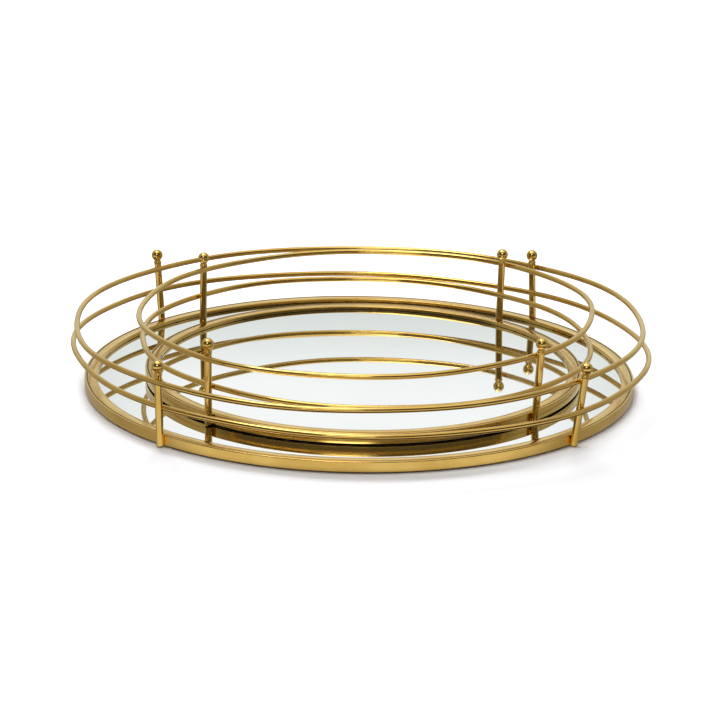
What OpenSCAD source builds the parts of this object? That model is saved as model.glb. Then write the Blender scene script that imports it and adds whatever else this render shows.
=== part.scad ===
// Nested pair of round mirrored vanity trays with woven wire galleries.
// Each tray is a flat glass mirror in a spun metal rim. Two wire rails run round it,
// woven in front of and behind four ball-topped posts that are brazed to the rim.
// The small tray stands on the mirror of the large one. Millimetres, +Z up,
// origin on the table under the middle of the large tray.

/* [Large tray] */
// Diameter over the large rim
large_rim_d = 350; // [300:1:450]
// Height of the lower rail's centreline above the tray's resting plane
large_lower_rail_z = 24.6; // [18:0.2:32]
// Height of the upper rail's centreline above the tray's resting plane
large_upper_rail_z = 41.8; // [36:0.2:44]
// Height of the finial balls' centres above the tray's resting plane
large_ball_z = 50.5; // [50:0.5:80]
// Turn of each post away from its diagonal, in degrees, from back right to front right
large_post_turn = [3, 4.5, 3, 2]; // [-4:0.5:8]
// Outward lean of each post in degrees, from back right to front right
large_post_lean = [-3.5, 5, 1.5, 8.5]; // [-4:0.5:9]
// Turn of the lower rail's long way from its diagonal, in degrees
large_lower_rail_turn = 18; // [-16:1:20]
// Turn of the upper rail's long way from its diagonal, in degrees
large_upper_rail_turn = 3; // [-16:1:20]

/* [Small tray] */
// Diameter over the small rim
small_rim_d = 278; // [200:1:290]
// Height of the lower rail's centreline above the tray's resting plane
small_lower_rail_z = 24.4; // [18:0.2:32]
// Height of the upper rail's centreline above the tray's resting plane
small_upper_rail_z = 43.8; // [36:0.2:45]
// Height of the finial balls' centres above the tray's resting plane
small_ball_z = 51.5; // [51.5:0.5:80]
// Turn of each post away from its diagonal, in degrees, from back right to front right
small_post_turn = [4.5, 5, 3.5, 3]; // [-4:0.5:8]
// Outward lean of each post in degrees, from back right to front right
small_post_lean = [2, -1, 0.5, 4]; // [-4:0.5:9]
// Turn of the lower rail's long way from its diagonal, in degrees
small_lower_rail_turn = 4; // [-16:1:20]
// Turn of the upper rail's long way from its diagonal, in degrees
small_upper_rail_turn = -8; // [-16:1:20]
// Where the small tray stands on the large mirror, to the right of its middle
small_shift = 2.5; // [-8:0.5:8]

/* [Rim] */
// Height of the outer hoop
hoop_h = 6.4; // [5:0.1:12]
// Thickness of the outer hoop
hoop_t = 1.6; // [1:0.1:3]
// Radius along the hoop's outer top edge
hoop_edge_r = 0.6; // [0.2:0.1:0.9]
// Width of the lip that frames the mirror
lip_w = 6.4; // [4:0.1:12]
// Height of the lip above the mirror, at its crown
lip_h = 2.5; // [1.5:0.1:4]
// Fall of the lip's crowned top from its middle to its edges
lip_crown = 0.4; // [0.1:0.05:0.6]

/* [Base] */
// Thickness of the glass mirror
mirror_t = 2; // [1.5:0.1:4]
// Thickness of the backing board
board_t = 2; // [1.5:0.1:4]
// Thickness of the felt that the tray rests on
felt_t = 1; // [0.5:0.1:2]
// Distance of the felt's edge inside the board's edge
felt_margin = 1.5; // [0.5:0.5:6]

/* [Rails and posts] */
// Diameter of the rail wire
wire_d = 3.5; // [2:0.1:4]
// Diameter of the posts
post_d = 4.6; // [3:0.1:6]
// Depth of the brazing seat that each rail has in a post
rail_seat = 0.75; // [0.3:0.05:0.8]
// Depth of the brazing seat that the rim has in a post's foot
foot_seat = 0.7; // [0.2:0.1:0.8]

/* [Finials] */
// Diameter of the ball
ball_d = 7.5; // [5:0.1:9]
// Height of the ball's centre above the post's shoulder
ball_rise = 5.8; // [5:0.1:6]
// Diameter of the collar at the foot of the finial
collar_d = 5.3; // [4.8:0.1:8]
// Height of the collar
collar_h = 1.7; // [1:0.1:2.5]
// Diameter of the waist between collar and ball
waist_d = 4.2; // [3:0.1:5]
// Diameter of the peg on the post that the finial is pressed on
peg_d = 1.8; // [1.2:0.1:2.4]
// Length of the peg
peg_h = 3.2; // [2:0.1:4]

/* [Fits] */
// Gap between a rail and its seat in a post
seat_gap = 0.03; // [0.02:0.01:0.1]
// Gap between the peg and the bore of the finial
peg_gap = 0.03; // [0.02:0.01:0.1]
// Gap between the mirror or the board and the hoop around it
edge_gap = 0.5; // [0.2:0.1:1]

/* [Hidden] */
$fn = 96;
TRAYS = ["large", "small"];
CORNERS = ["back_right", "back_left", "front_left", "front_right"];
SINGLES = ["hoop", "lip", "mirror", "board", "felt", "lower_rail", "upper_rail"];

LARGE = 0;
SMALL = 1;
LOWER = 0;
UPPER = 1;
gold = [0.83, 0.67, 0.35];
silvered = [0.80, 0.85, 0.86];
hardboard = [0.45, 0.33, 0.22];
black_felt = [0.10, 0.10, 0.11];

mirror_top = felt_t + board_t + mirror_t;

rim_r = [large_rim_d / 2, small_rim_d / 2];
rest_z = [0, mirror_top];
shift_x = [0, small_shift];
rail_z = [
    [large_lower_rail_z, large_upper_rail_z],
    [small_lower_rail_z, small_upper_rail_z]
];
rail_turn = [
    [large_lower_rail_turn, large_upper_rail_turn],
    [small_lower_rail_turn, small_upper_rail_turn]
];
ball_z = [large_ball_z, small_ball_z];
post_turn = [large_post_turn, small_post_turn];
post_lean = [large_post_lean, small_post_lean];

function azimuth(tray, corner) = 45 + 90 * corner + post_turn[tray][corner];
function foot_r(tray) = rim_r[tray] + post_d / 2 - foot_seat;

// Length of a post from the rim's underside up to the shoulder under the finial
function shoulder(tray, corner) =
    (ball_z[tray] - felt_t) / cos(post_lean[tray][corner]) - ball_rise;

// The weave: the upper rail passes outside posts 0 and 2 and inside posts 1 and 3,
// and the lower rail the other way round. First corner that a rail passes outside:
function outside(rail) = rail == UPPER ? 0 : 1;

// Radius at which a rail has to pass a post to lie in its seat
function contact_r(tray, rail, corner) =
    let(
        lean = post_lean[tray][corner],
        side = corner % 2 == outside(rail) ? 1 : -1,
        post_r = foot_r(tray) + (rail_z[tray][rail] - felt_t) * tan(lean)
    )
    post_r + side * (post_d / 2 + wire_d / 2 - rail_seat) / cos(lean);

// Share of an oval's stretch that is left at an angle from its long way
function stretch_share(angle) = (cos(angle) - cos(45)) / (1 - cos(45));

// A rail as [half-length, half-width, angle of its long way, centre], a wire oval
// that is stretched and shifted until it meets all four posts
function rail_oval(tray, rail) =
    let(
        c = [for (corner = [0:3]) contact_r(tray, rail, corner)],
        o = outside(rail),
        skew = rail_turn[tray][rail] - (post_turn[tray][o] + post_turn[tray][o + 2]) / 2,
        mean = (c[0] + c[1] + c[2] + c[3]) / 4,
        stretch = (c[o] + c[o + 2] - 2 * mean) / 2 / stretch_share(skew),
        along = azimuth(tray, 0),
        centre = (c[0] - c[2]) / 2 * [cos(along), sin(along)]
               + (c[1] - c[3]) / 2 * [-sin(along), cos(along)]
    )
    [mean + stretch, mean - stretch, 45 + 90 * o + rail_turn[tray][rail], centre];

// Radius of an oval's centreline at an angle from its long way, found on whichever
// of its arcs lies there
function arc_centre(a, b) = (a - b) * cos(45) / (2 * cos(45) - 1);
function oval_r(a, b, angle) =
    let(
        d = arc_centre(a, b),
        t = acos(abs(cos(angle))),
        join = atan2((a - d) * sin(45), d + (a - d) * cos(45))
    )
    t < join
        ? d * cos(t) + sqrt(pow(a - d, 2) - pow(d * sin(t), 2))
        : -d * sin(t) + sqrt(pow(b + d, 2) - pow(d * cos(t), 2));

// Radius at which a rail's centreline really passes a post
function rail_r(tray, rail, corner) =
    let(oval = rail_oval(tray, rail), along = azimuth(tray, corner))
    oval_r(oval[0], oval[1], along - oval[2])
    + oval[3] * [cos(along), sin(along)];

module on_tray(tray) {
    translate([shift_x[tray], 0, rest_z[tray]]) children();
}

module along_post(tray, corner) {
    rotate([0, 0, azimuth(tray, corner)])
        translate([foot_r(tray), 0, felt_t])
            rotate([0, post_lean[tray][corner], 0]) children();
}

// A wire oval of four arcs, with half-length a along X and half-width b along Y
module wire_oval(a, b) {
    d = arc_centre(a, b);
    for (quarter = [0:3]) {
        at_end = quarter % 2 == 0;
        rotate([0, 0, 90 * quarter])
            translate([at_end ? d : -d, 0, 0])
                rotate([0, 0, -45])
                    rotate_extrude(angle = 90)
                        translate([at_end ? a - d : b + d, 0]) circle(d = wire_d);
    }
}

module disc(tray, z, thickness, r) {
    on_tray(tray) translate([0, 0, z]) cylinder(r = r, h = thickness);
}

module hoop(tray) {
    edge_x = rim_r[tray] - hoop_edge_r;
    edge_y = felt_t + hoop_h - hoop_edge_r;
    color(gold) on_tray(tray) rotate_extrude() {
        translate([rim_r[tray] - hoop_t, felt_t]) square([hoop_t - hoop_edge_r, hoop_h]);
        translate([rim_r[tray] - hoop_t, felt_t]) square([hoop_t, hoop_h - hoop_edge_r]);
        translate([edge_x, edge_y]) circle(r = hoop_edge_r);
    }
}

module lip(tray) {
    inner_r = rim_r[tray] - hoop_t - lip_w;
    crown_r = (pow(lip_w / 2, 2) + pow(lip_crown, 2)) / (2 * lip_crown);
    color(gold) on_tray(tray) rotate_extrude() intersection() {
        translate([inner_r, mirror_top]) square([lip_w, lip_h]);
        translate([inner_r + lip_w / 2, mirror_top + lip_h - crown_r])
            circle(r = crown_r, $fn = 360);
    }
}

module mirror_plate(tray) {
    color(silvered) disc(tray, felt_t + board_t, mirror_t, rim_r[tray] - hoop_t - edge_gap);
}

module board(tray) {
    color(hardboard) disc(tray, felt_t, board_t, rim_r[tray] - hoop_t - edge_gap);
}

module felt(tray) {
    color(black_felt) disc(tray, 0, felt_t, rim_r[tray] - hoop_t - edge_gap - felt_margin);
}

module rail(tray, rail) {
    oval = rail_oval(tray, rail);
    color(gold) on_tray(tray)
        translate([oval[3][0], oval[3][1], rail_z[tray][rail]])
            rotate([0, 0, oval[2]]) wire_oval(oval[0], oval[1]);
}

// The seat that a rail lies in where it passes a post
module rail_groove(tray, rail, corner) {
    rotate([0, 0, azimuth(tray, corner)])
        translate([rail_r(tray, rail, corner), 0, rail_z[tray][rail]])
            rotate([90, 0, 0]) cylinder(d = wire_d + 2 * seat_gap, h = 3 * post_d, center = true);
}

module post(tray, corner) {
    rod_l = shoulder(tray, corner);
    color(gold) on_tray(tray) difference() {
        along_post(tray, corner) {
            translate([0, 0, -post_d]) cylinder(d = post_d, h = rod_l + post_d);
            cylinder(d = peg_d, h = rod_l + peg_h);
        }
        translate([0, 0, felt_t - 2 * post_d])
            cylinder(r = rim_r[tray] + 2 * post_d, h = 2 * post_d);
        cylinder(r = rim_r[tray], h = felt_t + hoop_h);
        rail_groove(tray, LOWER, corner);
        rail_groove(tray, UPPER, corner);
    }
}

module finial(tray, corner) {
    bead_r = collar_h / 2;
    color(gold) on_tray(tray) along_post(tray, corner)
        translate([0, 0, shoulder(tray, corner)]) difference() {
            union() {
                rotate_extrude() {
                    square([collar_d / 2 - bead_r, collar_h]);
                    translate([collar_d / 2 - bead_r, bead_r]) circle(r = bead_r);
                }
                cylinder(d1 = waist_d, d2 = ball_d * 0.75, h = ball_rise - ball_d * 0.2);
                translate([0, 0, ball_rise]) sphere(d = ball_d);
            }
            translate([0, 0, -1]) cylinder(d = peg_d + 2 * peg_gap, h = 1 + peg_h + peg_gap);
        }
}

module single(tray, name) {
    if (name == "hoop") hoop(tray);
    if (name == "lip") lip(tray);
    if (name == "mirror") mirror_plate(tray);
    if (name == "board") board(tray);
    if (name == "felt") felt(tray);
    if (name == "lower_rail") rail(tray, LOWER);
    if (name == "upper_rail") rail(tray, UPPER);
}

for (t = [LARGE, SMALL]) {
    for (s = SINGLES)
        single(t, s);
    for (c = [0:3]) {
        post(t, c);
        finial(t, c);
    }
}
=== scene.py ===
# %% [markdown]
# # A nested pair of round mirrored vanity trays
# On the real object each tray is a flat mirror in a spun brass rim, with a low gallery of
# two wire rails woven past four ball-topped posts. The small tray stands on the mirror of
# the large one. The exact CAD model comes in first, as a frame that fixes every place and
# size. After that each piece of metal is modelled finer, in the place of its CAD solid; the
# glass, board and felt keep their CAD discs.
# %% Load the frame
import bpy, math
from mathutils import Matrix, Vector


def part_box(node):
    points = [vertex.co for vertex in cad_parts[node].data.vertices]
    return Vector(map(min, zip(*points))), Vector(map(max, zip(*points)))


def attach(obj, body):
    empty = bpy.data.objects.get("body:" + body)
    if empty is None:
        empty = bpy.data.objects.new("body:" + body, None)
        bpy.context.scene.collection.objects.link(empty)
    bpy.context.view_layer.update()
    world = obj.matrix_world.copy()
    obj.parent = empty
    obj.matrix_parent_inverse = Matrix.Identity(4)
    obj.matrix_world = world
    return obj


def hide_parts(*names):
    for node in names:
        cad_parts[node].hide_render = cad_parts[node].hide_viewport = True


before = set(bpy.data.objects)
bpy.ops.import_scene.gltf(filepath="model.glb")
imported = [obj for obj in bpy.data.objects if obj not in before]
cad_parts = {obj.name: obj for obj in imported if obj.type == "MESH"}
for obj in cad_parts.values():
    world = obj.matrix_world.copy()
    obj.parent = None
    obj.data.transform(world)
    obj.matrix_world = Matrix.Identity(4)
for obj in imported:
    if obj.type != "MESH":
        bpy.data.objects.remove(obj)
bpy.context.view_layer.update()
TRAYS = ["large", "small"]
CORNERS = ["back_right", "back_left", "front_left", "front_right"]
LEVELS = ["lower", "upper"]
MM = 0.001

# %% [markdown]
# ## A clean start for each piece
# An operator works on whatever is selected, so every piece starts from an empty selection.
# Points are picked by their place, as a modeller would box-select them in a side view.
# %% Selection helpers
HAIR = 0.01 * MM  # a point this close to a height or a line counts as on it
MERGE_GAP = 0.001 * MM


def clear_selection():
    if bpy.context.object and bpy.context.object.mode != "OBJECT":
        bpy.ops.object.mode_set(mode="OBJECT")
    bpy.ops.object.select_all(action="DESELECT")


def only(piece):
    clear_selection()
    piece.select_set(True)
    bpy.context.view_layer.objects.active = piece


def edit(piece):
    only(piece)
    bpy.ops.object.mode_set(mode="EDIT")
    bpy.ops.mesh.select_mode(type="VERT")
    bpy.ops.mesh.select_all(action="DESELECT")


def pick(piece, wanted):
    """Selects the points of the piece being edited whose place passes the test."""
    bpy.ops.mesh.select_all(action="DESELECT")
    bpy.ops.object.mode_set(mode="OBJECT")
    for point in piece.data.vertices:
        point.select = wanted(point.co)
    bpy.ops.object.mode_set(mode="EDIT")


def close_up():
    """Merges points that lie on each other and turns every face outwards."""
    bpy.ops.mesh.select_all(action="SELECT")
    bpy.ops.mesh.remove_doubles(threshold=MERGE_GAP)
    bpy.ops.mesh.normals_make_consistent(inside=False)
    bpy.ops.object.mode_set(mode="OBJECT")


def settle(piece):
    """Puts the place, turn and size of a piece into its mesh."""
    only(piece)
    bpy.ops.object.transform_apply(location=True, rotation=True, scale=True)


def smooth(piece, angle=35):
    only(piece)
    bpy.ops.object.shade_smooth_by_angle(angle=math.radians(angle))


print("helpers ready")

# %% [markdown]
# ## Places of the rims and posts
# Nothing is placed by eye. The hoop's box gives each tray's middle and radius. The peg on
# top of a CAD post gives the post's line, because its end lies on the post's axis.
# %% Measure the trays
POST_R = 2.3 * MM
WIRE_R = 1.75 * MM
PEG_L = 3.2 * MM
PEG_TIP = 0.4 * MM
FOOT_SEAT = 0.7 * MM


def middle(node):
    low, high = (Vector(corner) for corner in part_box(node))
    return (low + high) / 2


def points_of(node):
    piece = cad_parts[node]
    return [piece.matrix_world @ point.co for point in piece.data.vertices]


rim = {}
for tray in TRAYS:
    low, high = (Vector(corner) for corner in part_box(f"{tray}_hoop"))
    rim[tray] = {"middle": middle(f"{tray}_hoop"), "r": (high.y - low.y) / 2,
                 "low": low.z, "high": high.z, "mirror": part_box(f"{tray}_mirror")[1][2]}
    print(tray, "rim radius in mm:", round(rim[tray]["r"] / MM, 2))


def post_line(tray, corner):
    """A post's foot on its axis, the shoulder under its finial, its direction and its outside."""
    points = points_of(f"{tray}_post_{corner}")
    top = max(p.z for p in points)
    ends = [p for p in points if p.z > top - PEG_TIP]
    tip = sum(ends, Vector()) / len(ends)
    out = (tip - rim[tray]["middle"]) * Vector((1, 1, 0))
    out.normalize()
    foot = rim[tray]["middle"] + out * (rim[tray]["r"] + POST_R - FOOT_SEAT)
    foot.z = rim[tray]["low"]
    up = (tip - foot).normalized()
    return foot, tip - up * PEG_L, up, out


for tray in TRAYS:
    leans = [round(math.degrees(post_line(tray, c)[2].angle((0, 0, 1))), 1) for c in CORNERS]
    print(tray, "post leans in degrees:", leans)

# %% [markdown]
# ## The spun rims
# A rim is a strip rolled into a hoop, with a second, flatter ring pressed in to hold the
# glass. Both have the same section all the way round, so each is drawn once as a small
# rectangle, its corners are softened, and the outline is spun about the tray's middle.
# %% Spin a section into a ring
SPIN_STEPS = 256


def section(name, tray, inner, outer, low, high):
    """A flat rectangle that stands on the right of the tray's middle."""
    clear_selection()
    centre = rim[tray]["middle"]
    place = (centre.x + (inner + outer) / 2, centre.y, (low + high) / 2)
    bpy.ops.mesh.primitive_plane_add(size=1, location=place, rotation=(math.pi / 2, 0, 0))
    piece = bpy.context.object
    piece.name = piece.data.name = name
    piece.scale = (outer - inner, high - low, 1)
    settle(piece)
    edit(piece)
    return piece


def spin_ring(piece, tray):
    centre = rim[tray]["middle"]
    bpy.ops.mesh.select_all(action="SELECT")
    bpy.ops.mesh.delete(type="ONLY_FACE")
    bpy.ops.mesh.select_all(action="SELECT")
    bpy.ops.mesh.spin(steps=SPIN_STEPS, angle=2 * math.pi, center=(centre.x, centre.y, 0),
                      axis=(0, 0, 1))
    close_up()
    smooth(piece)
    print(piece.name, "has", len(piece.data.polygons), "faces")


# %% [markdown]
# ## The outer hoop
# The hoop's top edge is rolled over by the spinning tool, so it gets a generous round. Its
# foot is only deburred. The round and the lip's own edge leave a fine V between them.
# %% Hoops
HOOP_T = 1.6 * MM
TOP_ROUND = 0.62 * MM
FOOT_ROUND = 0.15 * MM


def make_hoop(tray):
    place = rim[tray]
    hoop = section(f"{tray}_rim_hoop", tray, place["r"] - HOOP_T, place["r"], place["low"],
                   place["high"])
    pick(hoop, lambda p: p.z > place["high"] - HAIR)
    bpy.ops.mesh.bevel(offset=TOP_ROUND, segments=5, affect="VERTICES")
    pick(hoop, lambda p: p.z < place["low"] + HAIR)
    bpy.ops.mesh.bevel(offset=FOOT_ROUND, segments=3, affect="VERTICES")
    spin_ring(hoop, tray)
    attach(hoop, f"{tray}_tray")
    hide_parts(f"{tray}_hoop")
    return hoop


hoops = {tray: make_hoop(tray) for tray in TRAYS}

# %% [markdown]
# ## The lip that frames the glass
# The lip is a shallow crowned ring. The rectangle's top edge is divided, and its middle is
# pulled up with proportional editing, which bends the whole edge into a crown. The inner
# wall is divided too, so that its dull black finish can stop part of the way up.
#
# A known fault: the wall is divided while the section is still a face, and the first facet of
# the round above it is divided with it. Blender then links the cuts of the two across the
# section, which leaves five hidden strips inside the ring, and the ten strips of wall and
# facet beside them are turned inwards. Deleting the section's face before the wall is divided
# would avoid it.
# %% Lips
LIP_CROWN = 0.4 * MM
LIP_W = 6.4 * MM
LIP_ROUND = 0.3 * MM
HALFWAY_UP = 1 * MM
WALL_ZONE = 2 * MM


def make_lip(tray):
    low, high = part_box(f"{tray}_lip")
    outer = rim[tray]["r"] - HOOP_T
    inner = outer - LIP_W
    edge_z = high[2] - LIP_CROWN
    lip = section(f"{tray}_rim_lip", tray, inner, outer, low[2], edge_z)
    pick(lip, lambda p: p.z > edge_z - HAIR)
    bpy.ops.mesh.subdivide(number_cuts=11)
    crest = rim[tray]["middle"].x + (inner + outer) / 2
    pick(lip, lambda p: p.z > edge_z - HAIR and abs(p.x - crest) < HAIR)
    bpy.ops.transform.translate(value=(0, 0, LIP_CROWN), use_proportional_edit=True,
                                proportional_edit_falloff="SPHERE",
                                proportional_size=LIP_W / 2)
    ends = (crest - LIP_W / 2, crest + LIP_W / 2)
    pick(lip, lambda p: p.z > low[2] + HALFWAY_UP and min(abs(p.x - e) for e in ends) < HAIR)
    bpy.ops.mesh.bevel(offset=LIP_ROUND, segments=4, affect="VERTICES")
    pick(lip, lambda p: p.x < crest and p.z < low[2] + WALL_ZONE)
    bpy.ops.mesh.subdivide(number_cuts=5)
    spin_ring(lip, tray)
    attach(lip, f"{tray}_tray")
    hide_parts(f"{tray}_lip")
    return lip


lips = {tray: make_lip(tray) for tray in TRAYS}

# %% [markdown]
# ## The wire rails
# Each rail is one length of round wire, bent into a ring and sprung slightly oval where it
# is woven past the posts. A Bezier circle with a round bevel is the natural start for bent
# wire. It is stretched to the oval that the CAD rail measures, and made a mesh.
# %% Bend the rails
SPRING = {"large_lower": 1.2 * MM, "large_upper": 0.9 * MM, "small_lower": 0.2 * MM,
          "small_upper": 0.2 * MM}


def oval_of(node):
    """Half-length, half-width and direction of a rail's wire, measured on its CAD solid."""
    centre = middle(node)
    spokes = [(p - centre) * Vector((1, 1, 0)) for p in points_of(node)]
    far = max(spokes, key=lambda s: s.length)
    near = min(spokes, key=lambda s: s.length)
    return far.length - WIRE_R, near.length + WIRE_R, math.atan2(far.y, far.x)


def make_rail(tray, level):
    node = f"{tray}_{level}_rail"
    half_length, half_width, direction = oval_of(node)
    clear_selection()
    bpy.ops.curve.primitive_bezier_circle_add(radius=1, location=middle(node))
    rail = bpy.context.object
    bpy.ops.object.mode_set(mode="EDIT")
    bpy.ops.curve.select_all(action="SELECT")
    bpy.ops.curve.subdivide(number_cuts=1)
    bpy.ops.object.mode_set(mode="OBJECT")
    rail.scale = (half_length, half_width, 1)
    rail.rotation_euler = (0, 0, direction)
    bpy.ops.object.transform_apply(location=False, rotation=True, scale=True)
    bpy.ops.object.mode_set(mode="EDIT")
    bpy.ops.curve.select_all(action="SELECT")
    bpy.ops.curve.radius_set(radius=1)
    bpy.ops.object.mode_set(mode="OBJECT")
    rail.data.resolution_u = 24
    rail.data.bevel_depth = WIRE_R
    rail.data.bevel_resolution = 6
    bpy.ops.object.convert(target="MESH")
    rail = bpy.context.object
    rail.name = rail.data.name = f"{tray}_{level}_wire_rail"
    settle(rail)
    spring_rail(rail, tray, SPRING[f"{tray}_{level}"])
    close_up()
    smooth(rail, 60)
    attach(rail, f"{tray}_tray")
    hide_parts(node)
    print(rail.name, "half-length and half-width in mm:", round(half_length / MM, 1),
          round(half_width / MM, 1))
    return rail


# %% [markdown]
# The weave also springs each rail a little out of flat: it rides high at the left and right
# and low at the front and back. Proportional editing moves those four places smoothly and
# leaves the crossings at the posts, which lie between them, where they are.
# %% Spring the rails out of flat
GRIP = 6 * MM
SPRING_REACH = 0.92


def spring_rail(rail, tray, rise):
    centre = rim[tray]["middle"]
    edit(rail)
    for axis, lift in ((0, rise), (1, -rise)):
        for side in (-1, 1):
            pick(rail, lambda p: (p[axis] - centre[axis]) * side > 0
                 and abs(p[1 - axis] - centre[1 - axis]) < GRIP)
            bpy.ops.transform.translate(value=(0, 0, lift), use_proportional_edit=True,
                                        proportional_edit_falloff="SMOOTH",
                                        proportional_size=SPRING_REACH * rim[tray]["r"])


rails = {(tray, level): make_rail(tray, level) for tray in TRAYS for level in LEVELS}

# %% [markdown]
# ## The posts
# A post is a straight brass rod, cut square and brazed to the hoop. It starts as one plain
# cylinder. Each copy gets its own mesh, its length, its lean and its place, and is finished
# with its beads of solder.
# %% Cut one rod
ROD_L = 45 * MM

clear_selection()
bpy.ops.mesh.primitive_cylinder_add(vertices=32, radius=POST_R, depth=ROD_L,
                                    location=(0, 0, ROD_L / 2))
rod = bpy.context.object
rod.name = "rod"
settle(rod)
print("rod has", len(rod.data.polygons), "faces")


def copy_of(model, name):
    piece = model.copy()
    piece.data = model.data.copy()
    piece.name = piece.data.name = name
    bpy.context.scene.collection.objects.link(piece)
    return piece


def upright(foot, up, out):
    """The turn and place of a piece that stands on foot, along up, facing out."""
    side = up.cross(out).normalized()
    front = side.cross(up)
    turn = Matrix((front, side, up)).transposed().to_4x4()
    return Matrix.Translation(foot) @ turn


# %% [markdown]
# Where a rail passes a post, a small bead of hard solder joins them. It is a ball pressed
# flat between the two, twice as wide as it is high, with its ends drawn in.
# %% Model one solder bead
BEAD_SHAPE = (0.5, 1.7, 0.8)
BEAD_END = 1.2 * MM

clear_selection()
bpy.ops.mesh.primitive_uv_sphere_add(segments=16, ring_count=10, radius=1 * MM)
bead = bpy.context.object
bead.name = "bead"
edit(bead)
bpy.ops.mesh.select_all(action="SELECT")
bpy.ops.transform.resize(value=BEAD_SHAPE)
pick(bead, lambda p: abs(p.y) > BEAD_END)
bpy.ops.transform.resize(value=(0.7, 1.0, 0.7))
bpy.ops.object.mode_set(mode="OBJECT")
print("bead has", len(bead.data.polygons), "faces")

# %% [markdown]
# The upper rail passes outside the back right and front left posts and inside the other
# two, and the lower rail does the opposite. So each bead sits on the outer or the inner
# side of its post, at the height of its rail.
# %% Set up the posts with their beads
def make_post(tray, number):
    corner = CORNERS[number]
    foot, shoulder, up, out = post_line(tray, corner)
    post = copy_of(rod, f"{tray}_rod_{corner}")
    stretch = (shoulder - foot).length / ROD_L
    post.matrix_world = upright(foot, up, out) @ Matrix.Diagonal((1, 1, stretch, 1))
    parts = [post]
    for level in LEVELS:
        height = middle(f"{tray}_{level}_rail").z - foot.z
        outside = (number % 2 == 0) == (level == "upper")
        touch = foot + up * (height / up.z) + out * POST_R * (1 if outside else -1)
        drop = copy_of(bead, "drop")
        drop.matrix_world = upright(touch, up, out)
        parts.append(drop)
    for piece in parts:
        settle(piece)
    only(post)
    for piece in parts:
        piece.select_set(True)
    bpy.ops.object.join()
    smooth(post)
    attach(post, f"{tray}_tray")
    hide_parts(f"{tray}_post_{corner}")
    return post


posts = {(tray, n): make_post(tray, n) for tray in TRAYS for n in range(4)}
print(len(posts), "posts stand")

# %% [markdown]
# ## The finials
# A finial is turned on a lathe from one piece: a rounded collar, a neck that widens like a
# funnel, and a ball. A lathe shape is a profile spun about its axis, so the profile is
# drawn by extruding one point, step by step, and then spun.
# %% Draw the finial's profile
COLLAR_ROUND = 0.85 * MM
NECK = [(2.08, 1.75), (2.06, 2.05), (2.12, 2.35), (2.22, 2.6)]
BALL_R = 3.75 * MM
BALL_Z = 5.8 * MM


def arc(centre_r, centre_z, r, start, stop, steps):
    turns = [math.radians(start + (stop - start) * n / steps) for n in range(steps + 1)]
    return [(centre_r + r * math.cos(t), centre_z + r * math.sin(t)) for t in turns]


collar = arc(1.8 * MM, COLLAR_ROUND, COLLAR_ROUND, -90, 60, 9)
neck = [(r * MM, z * MM) for r, z in NECK]
ball = arc(0, BALL_Z, BALL_R, -52, 90, 20)
profile = [(0, 0)] + collar + neck + ball
profile[-1] = (0, BALL_Z + BALL_R)  # exactly on the axis, so that the ball closes

clear_selection()
bpy.ops.mesh.primitive_plane_add(size=1 * MM)
finial = bpy.context.object
finial.name = "finial"
edit(finial)
bpy.ops.mesh.select_all(action="SELECT")
bpy.ops.mesh.merge(type="CENTER")
for (r0, z0), (r1, z1) in zip(profile, profile[1:]):
    bpy.ops.mesh.extrude_region_move(TRANSFORM_OT_translate={"value": (r1 - r0, 0, z1 - z0)})
bpy.ops.mesh.select_all(action="SELECT")
bpy.ops.mesh.spin(steps=32, angle=2 * math.pi, center=(0, 0, 0), axis=(0, 0, 1))
close_up()
smooth(finial, 40)
print("finial has", len(finial.data.polygons), "faces")

# %% [markdown]
# The finials are copies as well. Each one sits on its post's shoulder and leans with it. The
# three models that were only there to be copied are then thrown away.
# %% Set a finial on every post
def make_finial(tray, corner):
    _, shoulder, up, out = post_line(tray, corner)
    knob = copy_of(finial, f"{tray}_knob_{corner}")
    knob.matrix_world = upright(shoulder, up, out)
    settle(knob)
    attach(knob, f"{tray}_tray")
    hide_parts(f"{tray}_finial_{corner}")
    return knob


finials = {(tray, c): make_finial(tray, c) for tray in TRAYS for c in CORNERS}
for model in (rod, bead, finial):
    bpy.data.objects.remove(model)
print(len(finials), "finials set")

# %% [markdown]
# ## Shared effects
# Spun and drawn brass is never one even colour: polishing leaves fine lines that run round
# the work, and the lacquer over the plate is a little thicker and darker in patches. Each
# effect is a node group that puts out a mask, and every gold finish mixes it its own way.
# %% Build a node group by name
def new_group(name, inputs, outputs):
    group = bpy.data.node_groups.new(name, "ShaderNodeTree")
    for label, default in inputs:
        socket = group.interface.new_socket(label, in_out="INPUT", socket_type="NodeSocketFloat")
        socket.default_value = default
    for label in outputs:
        group.interface.new_socket(label, in_out="OUTPUT", socket_type="NodeSocketFloat")
    return group, group.nodes.new("NodeGroupInput"), group.nodes.new("NodeGroupOutput")


def add(tree, kind, settings=None, values=None):
    node = tree.nodes.new(kind)
    for label, value in (settings or {}).items():
        setattr(node, label, value)
    for label, value in (values or {}).items():
        if isinstance(value, bpy.types.NodeSocket):
            tree.links.new(value, node.inputs[label])
        else:
            node.inputs[label].default_value = value
    return node


def maths(tree, operation, first, second=0.0, third=None):
    values = {0: first, 1: second}
    if third is not None:
        values[2] = third
    return add(tree, "ShaderNodeMath", {"operation": operation}, values).outputs[0]


print("node helpers ready")

# %% [markdown]
# ### Polishing lines
# The lines lie on circles about the tray's axis. The noise is read at the radius and the
# height of a point, and only slowly along the turn, so it smears into rings.
# %% Polishing lines
LINE_PITCH = 2600.0
LINE_DRIFT = 5.0


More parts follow.
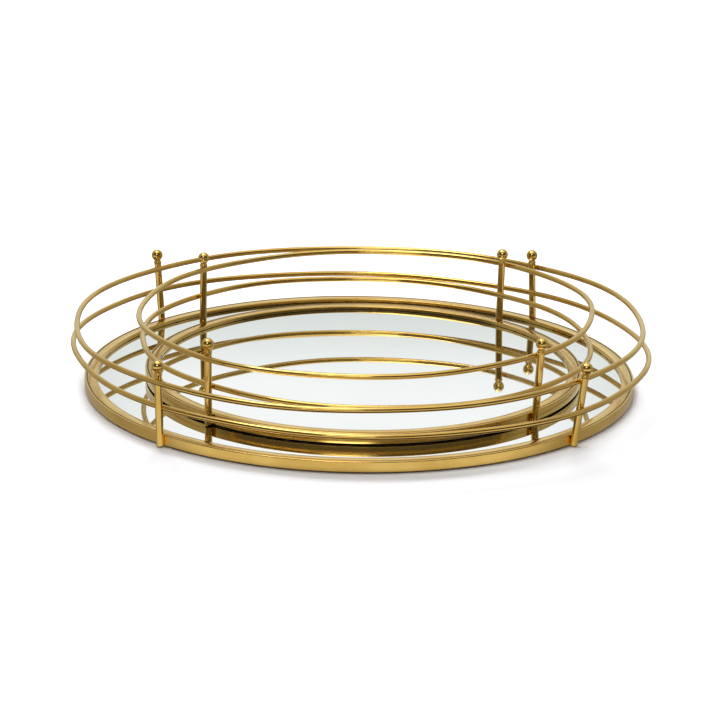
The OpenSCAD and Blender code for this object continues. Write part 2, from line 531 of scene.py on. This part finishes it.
def about_axis(group, centre_x):
    """A point's x and y from the tray's axis, its height, and its distance from the axis."""
    place = add(group, "ShaderNodeTexCoord").outputs["Object"]
    split = add(group, "ShaderNodeSeparateXYZ", values={0: place}).outputs
    x, y = maths(group, "SUBTRACT", split["X"], centre_x), split["Y"]
    radius = maths(group, "SQRT", maths(group, "ADD", maths(group, "MULTIPLY", x, x),
                                        maths(group, "MULTIPLY", y, y)))
    return x, y, split["Z"], radius


def make_polishing_lines():
    group, given, out = new_group("polishing_lines", [("Centre X", 0.0), ("Scale", 1.0)], ["Lines"])
    x, y, height, radius = about_axis(group, given.outputs["Centre X"])
    turn = maths(group, "ARCTAN2", y, x)
    join = add(group, "ShaderNodeCombineXYZ", values={
        "X": maths(group, "MULTIPLY", radius, LINE_PITCH),
        "Y": maths(group, "MULTIPLY", height, LINE_PITCH),
        "Z": maths(group, "MULTIPLY", turn, LINE_DRIFT)}).outputs[0]
    noise = add(group, "ShaderNodeTexNoise", values={
        "Vector": join, "Scale": given.outputs["Scale"], "Detail": 3.0, "Roughness": 0.6})
    group.links.new(noise.outputs[0], out.inputs["Lines"])
    return group


# %% [markdown]
# ### Lacquer patches
# Broad soft clouds a few centimetres wide, with small specks in them, stand for lacquer
# that dried unevenly and for the haze that handling leaves.
# %% Lacquer patches
def make_lacquer_patches():
    group, given, out = new_group("lacquer_patches", [("Scale", 30.0), ("Specks", 900.0)],
                                  ["Patches", "Specks"])
    place = add(group, "ShaderNodeTexCoord").outputs["Object"]
    broad = add(group, "ShaderNodeTexNoise", values={
        "Vector": place, "Scale": given.outputs["Scale"], "Detail": 4.0, "Roughness": 0.55})
    fine = add(group, "ShaderNodeTexNoise", values={
        "Vector": place, "Scale": given.outputs["Specks"], "Detail": 2.0})
    patches = add(group, "ShaderNodeMapRange", values={
        "Value": broad.outputs[0], "From Min": 0.38, "From Max": 0.66}).outputs[0]
    specks = add(group, "ShaderNodeMapRange", values={
        "Value": fine.outputs[0], "From Min": 0.62, "From Max": 0.78}).outputs[0]
    group.links.new(patches, out.inputs["Patches"])
    group.links.new(specks, out.inputs["Specks"])
    return group


# %% [markdown]
# ### Painted seam shade
# The fine V between lip and hoop is painted dark brown: painted shade in the V. The mask is a
# narrow band round the circle where the two meet.
# %% Painted seam shade
SEAM_W = 0.5 * MM


def make_painted_seam_shade():
    group, given, out = new_group("painted_seam_shade", [("Centre X", 0.0), ("Radius", 0.17),
                                                ("Width", SEAM_W)], ["Seam"])
    _, _, _, radius = about_axis(group, given.outputs["Centre X"])
    off = maths(group, "ABSOLUTE", maths(group, "SUBTRACT", radius, given.outputs["Radius"]))
    share = maths(group, "DIVIDE", off, given.outputs["Width"])
    seam = add(group, "ShaderNodeMapRange", {"interpolation_type": "SMOOTHSTEP"}, {
        "Value": share, "From Min": 0.5, "From Max": 1.4, "To Min": 1.0, "To Max": 0.0})
    group.links.new(seam.outputs[0], out.inputs["Seam"])
    return group


polishing_lines = make_polishing_lines()
lacquer_patches = make_lacquer_patches()
painted_seam_shade = make_painted_seam_shade()
print("groups:", [g.name for g in (polishing_lines, lacquer_patches, painted_seam_shade)])

# %% [markdown]
# ## The gold finishes
# All the metal is brass with a thin gold-coloured plate. The rims are spun and satin
# polished, so their lines run round the tray. The wire, rods and finials are tumbled
# bright. One builder makes both, because only the values differ.
# %% Gold finishes
GOLD = (0.81, 0.56, 0.175, 1)
DEEP_GOLD = (0.66, 0.42, 0.10, 1)
# the dark brown of the painted shade in the V between lip and hoop
SEAM_SHADE_BROWN = (0.22, 0.12, 0.02, 1)
LINE_SHARE = 0.35
SPECK_ROUGH = 0.04


def new_material(name):
    material = bpy.data.materials.new(name)
    material.use_nodes = True
    tree = material.node_tree
    return material, tree, tree.nodes["Principled BSDF"]


def use(tree, group, values=None):
    node = tree.nodes.new("ShaderNodeGroup")
    node.node_tree = group
    for label, value in (values or {}).items():
        node.inputs[label].default_value = value
    return node


def mix_colour(tree, share, first, second):
    node = add(tree, "ShaderNodeMix", {"data_type": "RGBA"}, {0: share})
    for socket, value in ((node.inputs[6], first), (node.inputs[7], second)):
        if isinstance(value, bpy.types.NodeSocket):
            tree.links.new(value, socket)
        else:
            socket.default_value = value
    return node.outputs[2]


def gold_finish(name, low, high, lines, centre_x=0.0, seam_r=None):
    """low and high are the roughness of bright and of hazy spots, lines the relief's depth."""
    material, tree, shader = new_material(name)
    patches = use(tree, lacquer_patches)
    grain = use(tree, polishing_lines, {"Centre X": centre_x})
    haze = maths(tree, "MULTIPLY_ADD", grain.outputs["Lines"], LINE_SHARE,
                 maths(tree, "MULTIPLY", patches.outputs["Patches"], 1 - LINE_SHARE))
    colour = mix_colour(tree, haze, GOLD, DEEP_GOLD)
    # painted shade: the V between lip and hoop is mixed towards dark brown
    if seam_r:
        seam = use(tree, painted_seam_shade, {"Centre X": centre_x, "Radius": seam_r, "Width": SEAM_W})
        colour = mix_colour(tree, seam.outputs["Seam"], colour, SEAM_SHADE_BROWN)
    tree.links.new(colour, shader.inputs["Base Color"])
    rough = maths(tree, "MULTIPLY_ADD", haze, high - low, low)
    rough = maths(tree, "MULTIPLY_ADD", patches.outputs["Specks"], SPECK_ROUGH, rough)
    tree.links.new(rough, shader.inputs["Roughness"])
    shader.inputs["Metallic"].default_value = 1.0
    bump = add(tree, "ShaderNodeBump", values={
        "Strength": 0.5, "Distance": lines, "Height": grain.outputs["Lines"]})
    tree.links.new(bump.outputs[0], shader.inputs["Normal"])
    return material


bright_gold = gold_finish("bright_gold", low=0.08, high=0.18, lines=1.5e-6)
spun_gold = {tray: gold_finish(f"{tray}_spun_gold", low=0.12, high=0.22, lines=6e-6,
                               centre_x=rim[tray]["middle"].x, seam_r=rim[tray]["r"] - HOOP_T)
             for tray in TRAYS}
print("gold finishes mixed:", 1 + len(spun_gold))

# %% [markdown]
# ## The dull black lower wall
# A thin dull black line runs round under the lip, where it meets the glass. It is not a piece
# of its own but a finish on the lower part of the lip's inner wall: dull black, with a slight
# ripple in its bump.
# %% Dull black lower wall
# the lowest strip of the lip's inner wall, just above the glass, is finished dull black
black_wall_finish, tree, shader = new_material("dull_black_wall")
patches = use(tree, lacquer_patches, {"Scale": 60.0, "Specks": 1200.0})
tone = mix_colour(tree, patches.outputs["Patches"], (0.010, 0.007, 0.003, 1),
                  (0.022, 0.016, 0.008, 1))
tree.links.new(tone, shader.inputs["Base Color"])
tree.links.new(maths(tree, "MULTIPLY_ADD", patches.outputs["Specks"], 0.2, 0.5),
               shader.inputs["Roughness"])
shader.inputs["Specular IOR Level"].default_value = 0.15
ripple = add(tree, "ShaderNodeBump", values={"Strength": 0.3, "Distance": 0.0002,
                                             "Height": patches.outputs["Patches"]})
tree.links.new(ripple.outputs[0], shader.inputs["Normal"])
print("sealant mixed")

# %% [markdown]
# ## Plating the metal
# Each rim has a spun gold of its own, because its lines and its seam run round its own tray's
# axis. On the lip, the faces of the inner wall close above the glass get the dull black finish.
# They are found by the way they face: towards the axis, and nearly upright. For the fault told
# with the lips, only the lowest strip of the wall, 0.3 mm high, passes that test.
# %% Finish the rims, the wire, the posts and the finials
BLACK_WALL_TOP = 1.15 * MM
UPRIGHT = 0.3


def finish(piece, material):
    piece.data.materials.clear()
    piece.data.materials.append(material)


def is_low_inner_wall(tray, face):
    """True for the lip's inner wall close above the glass."""
    spoke = face.center - rim[tray]["middle"]
    inward = face.normal.x * spoke.x + face.normal.y * spoke.y < 0
    low = face.center.z < rim[tray]["mirror"] + BLACK_WALL_TOP
    return inward and low and abs(face.normal.z) < UPRIGHT


for tray in TRAYS:
    finish(hoops[tray], spun_gold[tray])
    finish(lips[tray], spun_gold[tray])
    lips[tray].data.materials.append(black_wall_finish)
    blackened = [face for face in lips[tray].data.polygons if is_low_inner_wall(tray, face)]
    for face in blackened:
        face.material_index = 1
    print(tray, "lip has", len(blackened), "sealed faces")
for piece in [*rails.values(), *posts.values(), *finials.values()]:
    finish(piece, bright_gold)
print("gold finishes applied")

# %% [markdown]
# ## The mirror glass
# Float glass silvered on its back is almost a perfect reflector with a faint green tint.
# What the eye catches is the film on it: soft finger marks and a little dust, which only
# roughen it in patches. The glass keeps its CAD disc, because a flat disc is what it is.
# %% Mirror glass
GLASS_CLEAR = (0.90, 0.93, 0.915, 1)
GLASS_FILMED = (0.87, 0.905, 0.89, 1)
CLEAN_ROUGH = 0.012
FILM_ROUGH = 0.02
DUST_ROUGH = 0.05

mirror, tree, shader = new_material("silvered_glass")
patches = use(tree, lacquer_patches, {"Scale": 14.0, "Specks": 700.0})
tint = mix_colour(tree, patches.outputs["Patches"], GLASS_CLEAR, GLASS_FILMED)
tree.links.new(tint, shader.inputs["Base Color"])
film = maths(tree, "MULTIPLY_ADD", patches.outputs["Patches"], FILM_ROUGH, CLEAN_ROUGH)
film = maths(tree, "MULTIPLY_ADD", patches.outputs["Specks"], DUST_ROUGH, film)
tree.links.new(film, shader.inputs["Roughness"])
shader.inputs["Metallic"].default_value = 1.0
for tray in TRAYS:
    finish(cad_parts[f"{tray}_mirror"], mirror)
print("mirror glass applied")

# %% [markdown]
# ## The backing board and the felt
# Under the glass lies a disc of pressed hardboard, and under that a disc of black felt that
# saves the table. They show only from below and in the gap under the small tray, but they
# still need their fibres: the board short and matted, the felt fine and fuzzy.
# %% Backing board and felt
FIBRE_BEND = 0.004


def fibre_material(name, light, dark, scale, depth, sheen=0.0):
    material, tree, shader = new_material(name)
    place = add(tree, "ShaderNodeTexCoord").outputs["Object"]
    warp = add(tree, "ShaderNodeTexNoise", values={"Vector": place, "Scale": scale / 5,
                                                   "Detail": 2.0})
    bent = add(tree, "ShaderNodeVectorMath", {"operation": "MULTIPLY_ADD"},
               {0: warp.outputs["Color"], 1: (FIBRE_BEND,) * 3, 2: place}).outputs[0]
    fibres = add(tree, "ShaderNodeTexNoise", values={"Vector": bent, "Scale": scale,
                                                     "Detail": 6.0, "Roughness": 0.7})
    tree.links.new(mix_colour(tree, fibres.outputs[0], dark, light), shader.inputs["Base Color"])
    rough = maths(tree, "MULTIPLY_ADD", fibres.outputs[0], 0.15, 0.8)
    tree.links.new(rough, shader.inputs["Roughness"])
    bump = add(tree, "ShaderNodeBump", values={"Strength": 0.6, "Distance": depth,
                                               "Height": fibres.outputs[0]})
    tree.links.new(bump.outputs[0], shader.inputs["Normal"])
    shader.inputs["Sheen Weight"].default_value = sheen
    return material


hardboard = fibre_material("hardboard", (0.34, 0.21, 0.11, 1), (0.15, 0.085, 0.04, 1),
                           scale=900.0, depth=0.0002)
felt = fibre_material("black_felt", (0.035, 0.034, 0.036, 1), (0.006, 0.006, 0.007, 1),
                      scale=1600.0, depth=0.0003, sheen=0.25)
for tray in TRAYS:
    finish(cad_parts[f"{tray}_board"], hardboard)
    finish(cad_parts[f"{tray}_felt"], felt)
print("board and felt applied")

# %% [markdown]
# ## Table, light and camera
# The trays stand on a plain white table. It lies a tenth of a millimetre under them, so that
# the felt and the table never share a plane. Metal and mirrors don't see this table but the
# one that is painted into the light tent below, whose brightness can be set by itself.
# %% White table
TABLE_GAP = 0.1 * MM

clear_selection()
bpy.ops.mesh.primitive_plane_add(size=12, location=(0, 0, -TABLE_GAP))
table = bpy.context.object
table.name = "table"
paper, tree, shader = new_material("white_paper")
shader.inputs["Base Color"].default_value = (0.92, 0.935, 0.985, 1)
shader.inputs["Roughness"].default_value = 0.9
table.data.materials.append(paper)
table.visible_glossy = False
print("table laid")

# %% [markdown]
# ### The light tent
# Polished brass has no look of its own: it shows what surrounds it, so the surroundings are
# painted with care. A world shader takes the direction in which a ray leaves and splits it
# into across, depth and height, each from -1 to 1. Every part of the tent is a colour that
# fades in between two such limits.
# %% Read the direction
world = bpy.data.worlds.new("light_tent")
bpy.context.scene.world = world
world.use_nodes = True
tree = world.node_tree
background = tree.nodes["Background"]
way = add(tree, "ShaderNodeTexCoord").outputs["Generated"]
split = add(tree, "ShaderNodeSeparateXYZ", values={0: way}).outputs
across, depth, height = split["X"], split["Y"], split["Z"]
aside = maths(tree, "ABSOLUTE", across)


def fade_in(value, limits, low=0.0, high=1.0):
    start, stop = limits
    return add(tree, "ShaderNodeMapRange", {"interpolation_type": "SMOOTHSTEP"}, {
        "Value": value, "From Min": start, "From Max": stop, "To Min": low,
        "To Max": high}).outputs[0]


def fade_out(value, limits):
    return fade_in(value, limits, 1.0, 0.0)


print("tent is split into", [socket.name for socket in (across, depth, height)])

# %% [markdown]
# The cloth at the back is pale, with a white glow in its middle at the height that the
# mirrors show. It dims to the sides and grows bright again overhead.
# %% Back, sides and top of the tent
TENT_BACK = (0.72, 0.75, 0.73, 1)
TENT_GLOW = (1.0, 1.0, 1.0, 1)
TENT_HIGH = (0.66, 0.63, 0.57, 1)
TENT_SIDE = (0.40, 0.39, 0.36, 1)
TENT_TOP = (1.15, 1.12, 1.06, 1)
GLOW_FOOT = (0.275, 0.31)
GLOW_EDGE = (0.05, 0.12)
HIGH_FOOT = (0.42, 0.55)
SIDE_EDGE = (0.3, 0.9)
TOP_FOOT = (0.8, 0.9)

glow = maths(tree, "MULTIPLY", fade_in(height, GLOW_FOOT), fade_out(aside, GLOW_EDGE))
tent = mix_colour(tree, glow, TENT_BACK, TENT_GLOW)
tent = mix_colour(tree, fade_in(height, HIGH_FOOT), tent, TENT_HIGH)
tent = mix_colour(tree, fade_in(aside, SIDE_EDGE), tent, TENT_SIDE)
tent = mix_colour(tree, fade_in(height, TOP_FOOT), tent, TENT_TOP)
print("back, sides and top painted")

# %% [markdown]
# On the camera's side the tent is open to a dark room. That is what draws the brown lines in
# the polished brass. One bright window in it puts the small lights on the balls and rails.
# %% The room on the camera's side
ROOM_DARK = (0.09, 0.08, 0.065, 1)
WINDOW = (4.0, 3.9, 3.6, 1)
ROOM_EDGE = (-0.35, 0.05)
ROOM_TOP = (0.66, 0.88)
WINDOW_SILL = (0.44, 0.47)
WINDOW_HEAD = (0.6, 0.63)
WINDOW_MIDDLE = -0.12
WINDOW_EDGE = (0.16, 0.2)

front = fade_out(depth, ROOM_EDGE)
room = maths(tree, "MULTIPLY", front, fade_out(height, ROOM_TOP))
tent = mix_colour(tree, room, tent, ROOM_DARK)
pane = maths(tree, "MULTIPLY", fade_in(height, WINDOW_SILL), fade_out(height, WINDOW_HEAD))
from_middle = maths(tree, "ABSOLUTE", maths(tree, "SUBTRACT", across, WINDOW_MIDDLE))
pane = maths(tree, "MULTIPLY", pane, fade_out(from_middle, WINDOW_EDGE))
pane = maths(tree, "MULTIPLY", pane, front)
tent = mix_colour(tree, pane, tent, WINDOW)
print("room and window painted")

# %% [markdown]
# Below the horizon the metal sees the table: warm and bright on the near side, dimmer behind,
# and dark straight down, where the tray stands in its own shadow.
# %% The table that the metal sees
TABLE_NEAR = (0.88, 0.85, 0.80, 1)
TABLE_FAR = (0.42, 0.39, 0.34, 1)
TABLE_UNDER = (0.10, 0.08, 0.06, 1)
TABLE_MIDDLE = (-0.5, 0.1)
UNDER_EDGE = (-0.75, -0.4)
HORIZON = (-0.04, 0.0)

seen_table = mix_colour(tree, fade_in(depth, TABLE_MIDDLE), TABLE_NEAR, TABLE_FAR)
seen_table = mix_colour(tree, fade_in(height, UNDER_EDGE), TABLE_UNDER, seen_table)
tent = mix_colour(tree, fade_in(height, HORIZON), seen_table, tent)
tree.links.new(tent, background.inputs["Color"])
background.inputs["Strength"].default_value = 1.0
print("light tent painted")

# %% [markdown]
# ### Softboxes
# Two softboxes add to the tent. The one behind is hidden from reflections, so that it only
# whitens the table. The one above can be seen in the metal, and gives the lip its streak and
# the balls their glint.
# %% Softboxes
def softbox(name, place, size, power):
    """A flat lamp that points at the middle of the trays."""
    lamp = bpy.data.lights.new(name, "AREA")
    lamp.shape = "RECTANGLE"
    lamp.size, lamp.size_y = size
    lamp.energy = power
    holder = bpy.data.objects.new(name, lamp)
    holder.location = place
    holder.rotation_euler = (-Vector(place)).to_track_quat("-Z", "Y").to_euler()
    bpy.context.scene.collection.objects.link(holder)
    return holder


back_box = softbox("back_softbox", (-0.2, 2.0, 1.25), (1.6, 0.7), 60)
back_box.visible_glossy = False
softbox("top_softbox", (-0.5, 0.2, 2.2), (1.2, 1.0), 14)
print("lights set")

# %% [markdown]
# The camera is a long lens about 1.8 m away, looking down at 17 degrees. It is turned by
# less than a degree about its own axis, so the right side of the trays sits a little lower.
# %% Camera
CAMERA_PLACE = (0.0003, -1.708, 0.5474)
LOOK_DOWN = 17.32
ROLL = 0.757

lens = bpy.data.cameras.new("camera")
lens.lens = 140
lens.sensor_width = 36
lens.clip_end = 50
camera = bpy.data.objects.new("camera", lens)
bpy.context.scene.collection.objects.link(camera)
camera.matrix_world = (Matrix.Translation(CAMERA_PLACE)
                       @ Matrix.Rotation(math.radians(90 - LOOK_DOWN), 4, "X")
                       @ Matrix.Rotation(math.radians(ROLL), 4, "Z"))
bpy.context.scene.camera = camera
bpy.context.scene.view_settings.view_transform = "Standard"
print("camera height in m:", round(camera.matrix_world.translation.z, 3))

# %% [markdown]
# ## Bring the scene up to date
# The finer pieces are meant to fill the same box as the CAD solids that they stand for. This
# cell only brings the scene up to date.
# %% Bring the scene up to date
bpy.context.view_layer.update()
